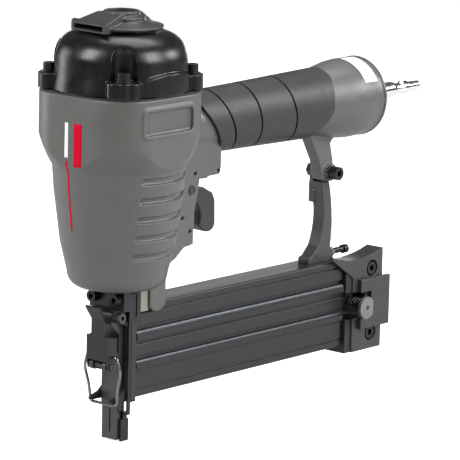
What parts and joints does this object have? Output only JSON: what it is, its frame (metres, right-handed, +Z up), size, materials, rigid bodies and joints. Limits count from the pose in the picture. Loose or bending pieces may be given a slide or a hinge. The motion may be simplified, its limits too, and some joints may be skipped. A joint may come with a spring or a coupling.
{
  "type": "pneumatic nail gun",
  "caption": "Pneumatic nail gun: tapered air barrel with domed head, rubber-gripped handle, trigger, strut, straight rear-loading magazine and quick-release nose.",
  "frame": {"origin": "centre of the nose door's tip face level with the drive axis, where the driver blade leaves the tool", "axes": "+Z up along the drive and cylinder axis, -Y to the front, +Y along the handle and magazine to the air inlet, +X to the tool's left side"},
  "size_m": [0.088, 0.3423, 0.27],
  "materials": {
    "body_paint": "satin",
    "gasket": "matte",
    "cap_black": "satin",
    "screw_black": "satin",
    "deflector_plastic": "satin",
    "valve_plastic": "matte",
    "spring_steel": "satin",
    "liner_aluminium": "satin",
    "seal_rubber": "matte",
    "blade_steel": "satin",
    "trigger_plastic": "satin",
    "pin_steel": "satin",
    "grip_rubber": "matte",
    "plug_chrome": "polished",
    "strut_paint": "satin",
    "nose_steel": "satin",
    "plated_steel": "satin",
    "door_steel": "satin",
    "wire_steel": "satin",
    "front_plate_steel": "satin",
    "magazine_anodised": "satin anodised",
    "rear_block_paint": "satin",
    "button_aluminium": "satin",
    "spring_black": "satin",
    "label_white": "satin",
    "stripe_red": "satin"
  },
  "bodies": {
    "tool": {"body_casting": "body_paint", "head_gasket": "gasket", "cylinder_cap": "cap_black", "cap_screws": "screw_black", "exhaust_screw": "screw_black", "cylinder_liner": "liner_aluminium", "liner_guide_ring": "valve_plastic", "bumper": "seal_rubber", "trigger_pin": "pin_steel", "roll_pins": "screw_black", "trigger_valve": "valve_plastic", "grip_sleeve": "grip_rubber", "end_gasket": "gasket", "end_cap": "body_paint", "end_cap_screws": "screw_black", "inlet_bushing": "plug_chrome", "air_plug": "plug_chrome", "strut": "strut_paint", "strut_bolt": "screw_black", "strut_washer": "pin_steel", "strut_nut": "screw_black", "foot_screw": "screw_black", "nose_housing": "nose_steel", "nose_screws": "screw_black", "hinge_pin": "pin_steel", "magazine_front_plate": "front_plate_steel", "magazine_saddle": "plated_steel", "magazine_body": "magazine_anodised", "head_valve_spring": "spring_steel", "valve_spring": "spring_steel"},
    "deflector": {"exhaust_deflector": "deflector_plastic"},
    "head_valve": {"head_valve": "valve_plastic"},
    "driver": {"piston": "liner_aluminium", "piston_ring": "seal_rubber", "driver_blade": "blade_steel"},
    "trigger": {"trigger": "trigger_plastic"},
    "valve_stem": {"valve_stem": "pin_steel"},
    "door": {"nose_door": "door_steel", "lever_pin": "pin_steel"},
    "lever": {"latch_lever": "nose_steel"},
    "bail": {"wire_bail": "wire_steel"},
    "contact_arm": {"contact_arm": "nose_steel"},
    "drawer": {"magazine_rail": "blade_steel", "rear_end_plate": "seal_rubber", "rear_block": "rear_block_paint", "rear_block_screws": "screw_black", "latch_plate": "rear_block_paint"},
    "pusher": {"pusher": "blade_steel", "pusher_spring": "spring_steel"},
    "latch_button": {"latch_button": "button_aluminium", "latch_spring": "spring_black"}
  },
  "joints": [
    {"name": "trigger_pull", "type": "hinge", "parent": "tool", "child": "trigger", "pos_m": [0, 0.0549, 0.1515], "axis": [1, 0, 0], "range_deg": [0, 12], "stiffness_Nm_per_rad": 0.6, "springref_deg": -5.73},
    {"name": "valve_stem_slide", "type": "slide", "parent": "tool", "child": "valve_stem", "axis": [0, 0, 1], "range_m": [0, 0.0035], "deforming": ["valve_spring"]},
    {"name": "head_valve_lift", "type": "slide", "parent": "tool", "child": "head_valve", "axis": [0, 0, 1], "range_m": [0, 0.006], "stiffness_N_per_m": 1500, "springref_m": -0.004, "deforming": ["head_valve_spring"]},
    {"name": "drive_stroke", "type": "slide", "parent": "tool", "child": "driver", "axis": [0, 0, -1], "range_m": [0, 0.082]},
    {"name": "exhaust_swivel", "type": "hinge", "parent": "tool", "child": "deflector", "pos_m": [0, 0, 0.2595], "axis": [0, 0, 1], "continuous": true},
    {"name": "contact_slide", "type": "slide", "parent": "tool", "child": "contact_arm", "axis": [0, 0, 1], "range_m": [0, 0.005], "stiffness_N_per_m": 600, "springref_m": -0.004},
    {"name": "door_open", "type": "hinge", "parent": "tool", "child": "door", "pos_m": [0, -0.009, 0.0795], "axis": [-1, 0, 0], "range_deg": [0, 50]},
    {"name": "latch_lever_open", "type": "hinge", "parent": "door", "child": "lever", "pos_m": [0, -0.014, 0.0486], "axis": [1, 0, 0], "range_deg": [0, 95]},
    {"name": "bail_swing", "type": "hinge", "parent": "lever", "child": "bail", "pos_m": [0, -0.0124, 0.0546], "axis": [1, 0, 0], "range_deg": [-116, 1]},
    {"name": "magazine_slide", "type": "slide", "parent": "tool", "child": "drawer", "axis": [0, 1, 0], "range_m": [0, 0.15]},
    {"name": "pusher_slide", "type": "slide", "parent": "drawer", "child": "pusher", "axis": [0, 1, 0], "range_m": [0, 0.165], "stiffness_N_per_m": 15, "springref_m": -0.2},
    {"name": "latch_press", "type": "slide", "parent": "tool", "child": "latch_button", "axis": [-1, 0, 0], "range_m": [0, 0.0015], "stiffness_N_per_m": 800, "springref_m": -0.002}
  ],
  "couplings": [
    {"joint": "valve_stem_slide", "follows": "trigger_pull", "m_per_rad": 0.0161},
    {"joint": "bail_swing", "follows": "latch_lever_open", "ratio": -1.2}
  ]
}
